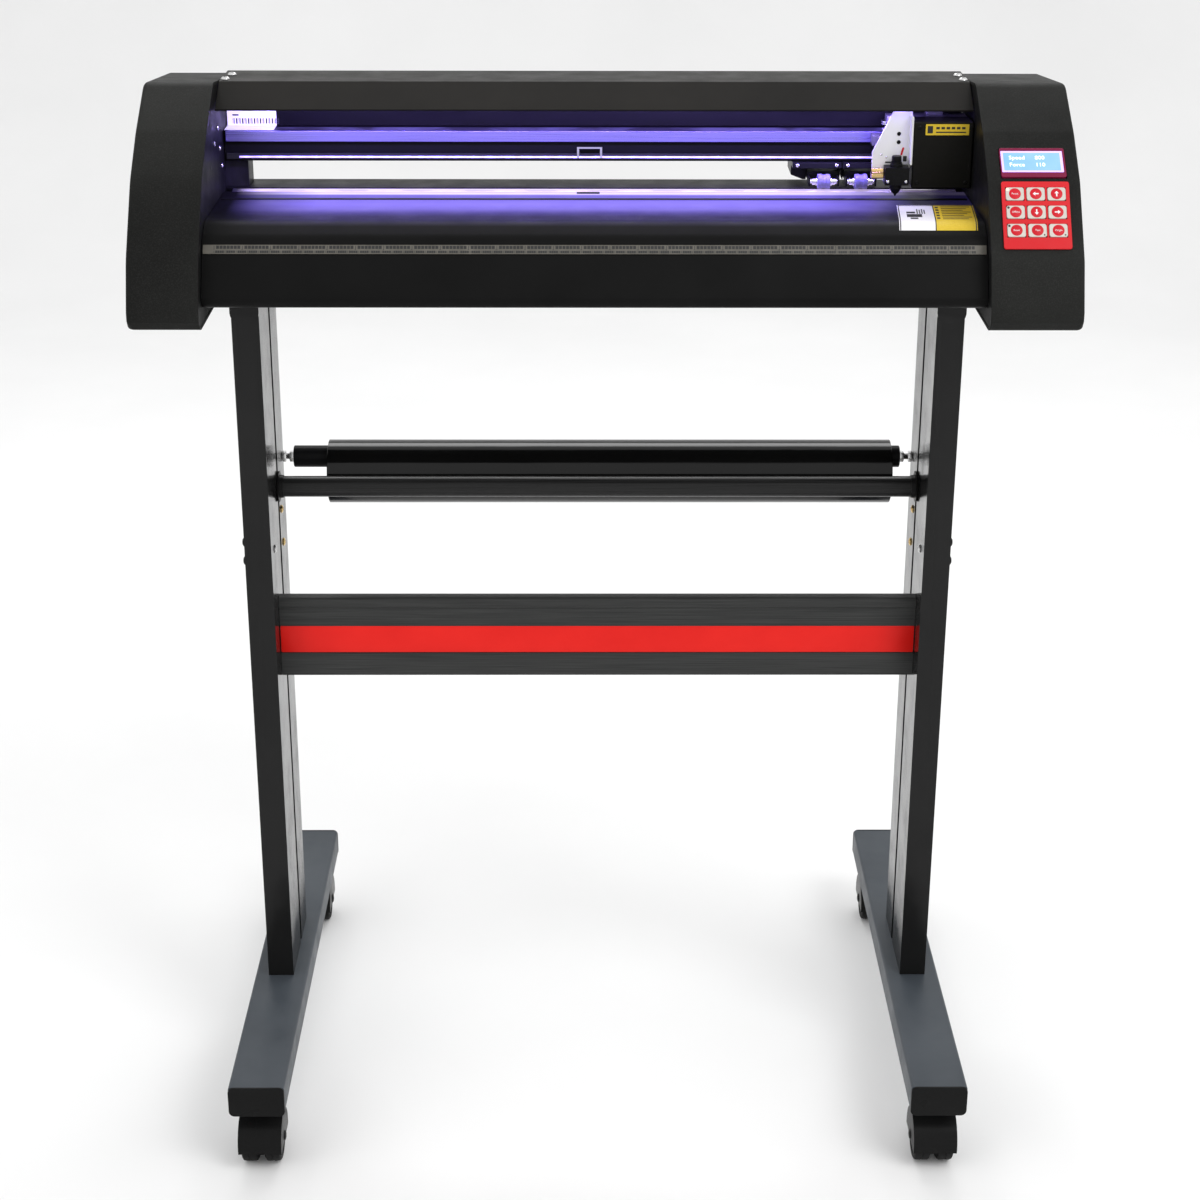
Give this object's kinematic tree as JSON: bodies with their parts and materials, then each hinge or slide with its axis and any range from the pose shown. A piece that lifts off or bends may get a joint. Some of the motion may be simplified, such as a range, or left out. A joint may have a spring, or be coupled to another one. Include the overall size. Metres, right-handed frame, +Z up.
{
  "type": "vinyl cutter",
  "caption": "Roll-fed vinyl cutter on a wheeled floor stand: belt-driven blade carriage, grit and pinch rollers, sloping keypad and screen, roll holder below.",
  "frame": {"origin": "on the floor under the middle of the object's bounding box", "axes": "+Z up, +X to the operator's right (the control panel's side), front faces -Y"},
  "size_m": [0.856, 0.54, 1.0294],
  "materials": {
    "black_coat": "satin black powder coat on extruded and folded metal",
    "cover_plastic": "charcoal, fine moulded texture",
    "slate_coat": "satin slate-grey coat on extruded beams",
    "black_plastic": "semi-gloss black moulding",
    "bare_metal": "bare machined metal",
    "dark_tube": "dark grey anodised tube",
    "gloss_vinyl": "gloss black self-adhesive film",
    "rubber": "black rubber",
    "brass": "polished brass",
    "ruler_print": "printed scale strip",
    "light_strip": "violet-blue light strip, lit",
    "red_panel": "red membrane overlay",
    "key_plastic": "off-white key caps with red discs",
    "screen": "lit display window in a purple bezel",
    "board_green": "green circuit board with components"
  },
  "bodies": {
    "root": {"leg_left": "black_coat", "leg_right": "black_coat", "foot_left": "slate_coat", "foot_right": "slate_coat", "crossbeam": "cover_plastic", "support_bar": "black_coat", "base_extrusion": "black_coat", "ruler_strip": "ruler_print", "rail_beam": "black_coat", "guide_rail": "bare_metal", "led_strip": "light_strip", "top_cover": "black_coat", "end_plate_left": "black_coat", "end_plate_right": "black_coat", "end_cover_left": "cover_plastic", "end_cover_right": "cover_plastic", "feed_motor": "black_coat", "feed_belt": "rubber", "carriage_motor": "black_coat", "carriage_belt": "rubber", "lcd_module": "screen", "keypad_panel": "red_panel", "power_inlet": "black_plastic", "power_supply": "bare_metal", "control_board": "board_green"},
    "carriage": {"carriage_plate": "bare_metal", "carriage_cover": "black_plastic"},
    "tool": {"tool_slide": "black_plastic", "blade_holder": "bare_metal"},
    "clamp_screw": {"clamp_screw": "brass"},
    "motor_pulley": {"motor_pulley": "bare_metal"},
    "idler_pulley": {"idler_pulley": "bare_metal"},
    "grit_roller": {"grit_roller": "bare_metal"},
    "feed_motor_pulley": {"feed_motor_pulley": "bare_metal"},
    "media_roller": {"media_roller": "dark_tube"},
    "vinyl_roll": {"vinyl_roll": "gloss_vinyl"},
    "power_rocker": {"power_rocker": "black_plastic"},
    "pinch_1": {"pinch_1_housing": "black_plastic"},
    "pinch_1_arm": {"pinch_1_arm": "black_plastic"},
    "pinch_1_wheel": {"pinch_1_wheel": "rubber"},
    "pinch_2": {"pinch_2_housing": "black_plastic"},
    "pinch_2_arm": {"pinch_2_arm": "black_plastic"},
    "pinch_2_wheel": {"pinch_2_wheel": "rubber"},
    "pause_button": {"pause_button": "key_plastic"},
    "left_button": {"left_button": "key_plastic"},
    "up_button": {"up_button": "key_plastic"},
    "offline_button": {"offline_button": "key_plastic"},
    "down_button": {"down_button": "key_plastic"},
    "right_button": {"right_button": "key_plastic"},
    "reset_button": {"reset_button": "key_plastic"},
    "test_button": {"test_button": "key_plastic"},
    "origin_button": {"origin_button": "key_plastic"},
    "caster_front_left": {"caster_front_left_hood": "black_plastic"},
    "caster_front_left_wheels": {"caster_front_left_wheels": "rubber"},
    "caster_rear_left": {"caster_rear_left_hood": "black_plastic"},
    "caster_rear_left_wheels": {"caster_rear_left_wheels": "rubber"},
    "caster_front_right": {"caster_front_right_hood": "black_plastic"},
    "caster_front_right_wheels": {"caster_front_right_wheels": "rubber"},
    "caster_rear_right": {"caster_rear_right_hood": "black_plastic"},
    "caster_rear_right_wheels": {"caster_rear_right_wheels": "rubber"}
  },
  "joints": [
    {"name": "carriage_travel", "type": "slide", "parent": "root", "child": "carriage", "axis": [1, 0, 0], "range_m": [-0.606, 0]},
    {"name": "tool_lower", "type": "slide", "parent": "carriage", "child": "tool", "axis": [0, 0, -1], "range_m": [0, 0.003], "stiffness_N_per_m": 150, "springref_m": -0.006},
    {"name": "clamp_screw_turn", "type": "hinge", "parent": "tool", "child": "clamp_screw", "pos_m": [0.256, -0.026, 0.9465], "axis": [-1, 0, 0], "range_deg": [0, 360]},
    {"name": "motor_pulley_spin", "type": "hinge", "parent": "root", "child": "motor_pulley", "pos_m": [0.385, 0.036, 1.004], "axis": [0, 0, 1], "continuous": true},
    {"name": "idler_pulley_spin", "type": "hinge", "parent": "root", "child": "idler_pulley", "pos_m": [-0.395, 0.036, 1.004], "axis": [0, 0, 1], "continuous": true},
    {"name": "grit_roller_spin", "type": "hinge", "parent": "root", "child": "grit_roller", "pos_m": [0, 0.016, 0.9125], "axis": [1, 0, 0], "continuous": true},
    {"name": "feed_motor_spin", "type": "hinge", "parent": "root", "child": "feed_motor_pulley", "pos_m": [-0.377, -0.06, 0.885], "axis": [1, 0, 0], "continuous": true},
    {"name": "pinch_1_position", "type": "slide", "parent": "root", "child": "pinch_1", "axis": [1, 0, 0], "range_m": [-0.518, 0]},
    {"name": "pinch_1_lift", "type": "hinge", "parent": "pinch_1", "child": "pinch_1_arm", "pos_m": [0.21, 0.062, 0.934], "axis": [-1, 0, 0], "range_deg": [0, 4]},
    {"name": "pinch_1_spin", "type": "hinge", "parent": "pinch_1_arm", "child": "pinch_1_wheel", "pos_m": [0.21, 0.016, 0.9301], "axis": [1, 0, 0], "continuous": true},
    {"name": "pinch_2_position", "type": "slide", "parent": "root", "child": "pinch_2", "axis": [1, 0, 0], "range_m": [0, 0.056]},
    {"name": "pinch_2_lift", "type": "hinge", "parent": "pinch_2", "child": "pinch_2_arm", "pos_m": [0.2455, 0.062, 0.934], "axis": [-1, 0, 0], "range_deg": [0, 4]},
    {"name": "pinch_2_spin", "type": "hinge", "parent": "pinch_2_arm", "child": "pinch_2_wheel", "pos_m": [0.2455, 0.016, 0.9301], "axis": [1, 0, 0], "continuous": true},
    {"name": "vinyl_roll_spin", "type": "hinge", "parent": "root", "child": "vinyl_roll", "pos_m": [-0.006, 0.056, 0.624], "axis": [1, 0, 0], "continuous": true},
    {"name": "media_roller_spin", "type": "hinge", "parent": "root", "child": "media_roller", "pos_m": [-0.006, 0.056, 0.6397], "axis": [1, 0, 0], "continuous": true},
    {"name": "pause_button_press", "type": "slide", "parent": "root", "child": "pause_button", "axis": [0, 0.7992, -0.601], "range_m": [0, 0.0008], "stiffness_N_per_m": 600, "springref_m": -0.0006},
    {"name": "left_button_press", "type": "slide", "parent": "root", "child": "left_button", "axis": [0, 0.7992, -0.601], "range_m": [0, 0.0008], "stiffness_N_per_m": 600, "springref_m": -0.0006},
    {"name": "up_button_press", "type": "slide", "parent": "root", "child": "up_button", "axis": [0, 0.7992, -0.601], "range_m": [0, 0.0008], "stiffness_N_per_m": 600, "springref_m": -0.0006},
    {"name": "offline_button_press", "type": "slide", "parent": "root", "child": "offline_button", "axis": [0, 0.7992, -0.601], "range_m": [0, 0.0008], "stiffness_N_per_m": 600, "springref_m": -0.0006},
    {"name": "down_button_press", "type": "slide", "parent": "root", "child": "down_button", "axis": [0, 0.7992, -0.601], "range_m": [0, 0.0008], "stiffness_N_per_m": 600, "springref_m": -0.0006},
    {"name": "right_button_press", "type": "slide", "parent": "root", "child": "right_button", "axis": [0, 0.7992, -0.601], "range_m": [0, 0.0008], "stiffness_N_per_m": 600, "springref_m": -0.0006},
    {"name": "reset_button_press", "type": "slide", "parent": "root", "child": "reset_button", "axis": [0, 0.7992, -0.601], "range_m": [0, 0.0008], "stiffness_N_per_m": 600, "springref_m": -0.0006},
    {"name": "test_button_press", "type": "slide", "parent": "root", "child": "test_button", "axis": [0, 0.7992, -0.601], "range_m": [0, 0.0008], "stiffness_N_per_m": 600, "springref_m": -0.0006},
    {"name": "origin_button_press", "type": "slide", "parent": "root", "child": "origin_button", "axis": [0, 0.7992, -0.601], "range_m": [0, 0.0008], "stiffness_N_per_m": 600, "springref_m": -0.0006},
    {"name": "power_rocker_tilt", "type": "hinge", "parent": "root", "child": "power_rocker", "pos_m": [0.386, 0.118, 0.9], "axis": [1, 0, 0], "range_deg": [-16, 0]},
    {"name": "caster_front_left_swivel", "type": "hinge", "parent": "root", "child": "caster_front_left", "pos_m": [-0.3402, -0.229, 0.06], "axis": [0, 0, 1], "continuous": true},
    {"name": "caster_front_left_roll", "type": "hinge", "parent": "caster_front_left", "child": "caster_front_left_wheels", "pos_m": [-0.3402, -0.241, 0.025], "axis": [1, 0, 0], "continuous": true},
    {"name": "caster_rear_left_swivel", "type": "hinge", "parent": "root", "child": "caster_rear_left", "pos_m": [-0.3402, 0.229, 0.06], "axis": [0, 0, 1], "continuous": true},
    {"name": "caster_rear_left_roll", "type": "hinge", "parent": "caster_rear_left", "child": "caster_rear_left_wheels", "pos_m": [-0.3402, 0.241, 0.025], "axis": [1, 0, 0], "continuous": true},
    {"name": "caster_front_right_swivel", "type": "hinge", "parent": "root", "child": "caster_front_right", "pos_m": [0.3282, -0.229, 0.06], "axis": [0, 0, 1], "continuous": true},
    {"name": "caster_front_right_roll", "type": "hinge", "parent": "caster_front_right", "child": "caster_front_right_wheels", "pos_m": [0.3282, -0.241, 0.025], "axis": [1, 0, 0], "continuous": true},
    {"name": "caster_rear_right_swivel", "type": "hinge", "parent": "root", "child": "caster_rear_right", "pos_m": [0.3282, 0.229, 0.06], "axis": [0, 0, 1], "continuous": true},
    {"name": "caster_rear_right_roll", "type": "hinge", "parent": "caster_rear_right", "child": "caster_rear_right_wheels", "pos_m": [0.3282, 0.241, 0.025], "axis": [1, 0, 0], "continuous": true}
  ],
  "couplings": [
    {"joint": "motor_pulley_spin", "follows": "carriage_travel", "rad_per_m": 133.33},
    {"joint": "idler_pulley_spin", "follows": "carriage_travel", "rad_per_m": 133.33},
    {"joint": "feed_motor_spin", "follows": "grit_roller_spin", "ratio": 3},
    {"joint": "pinch_1_spin", "follows": "grit_roller_spin", "ratio": -1.3699},
    {"joint": "pinch_2_spin", "follows": "grit_roller_spin", "ratio": -1.3699},
    {"joint": "media_roller_spin", "follows": "vinyl_roll_spin", "ratio": 2.4545}
  ]
}
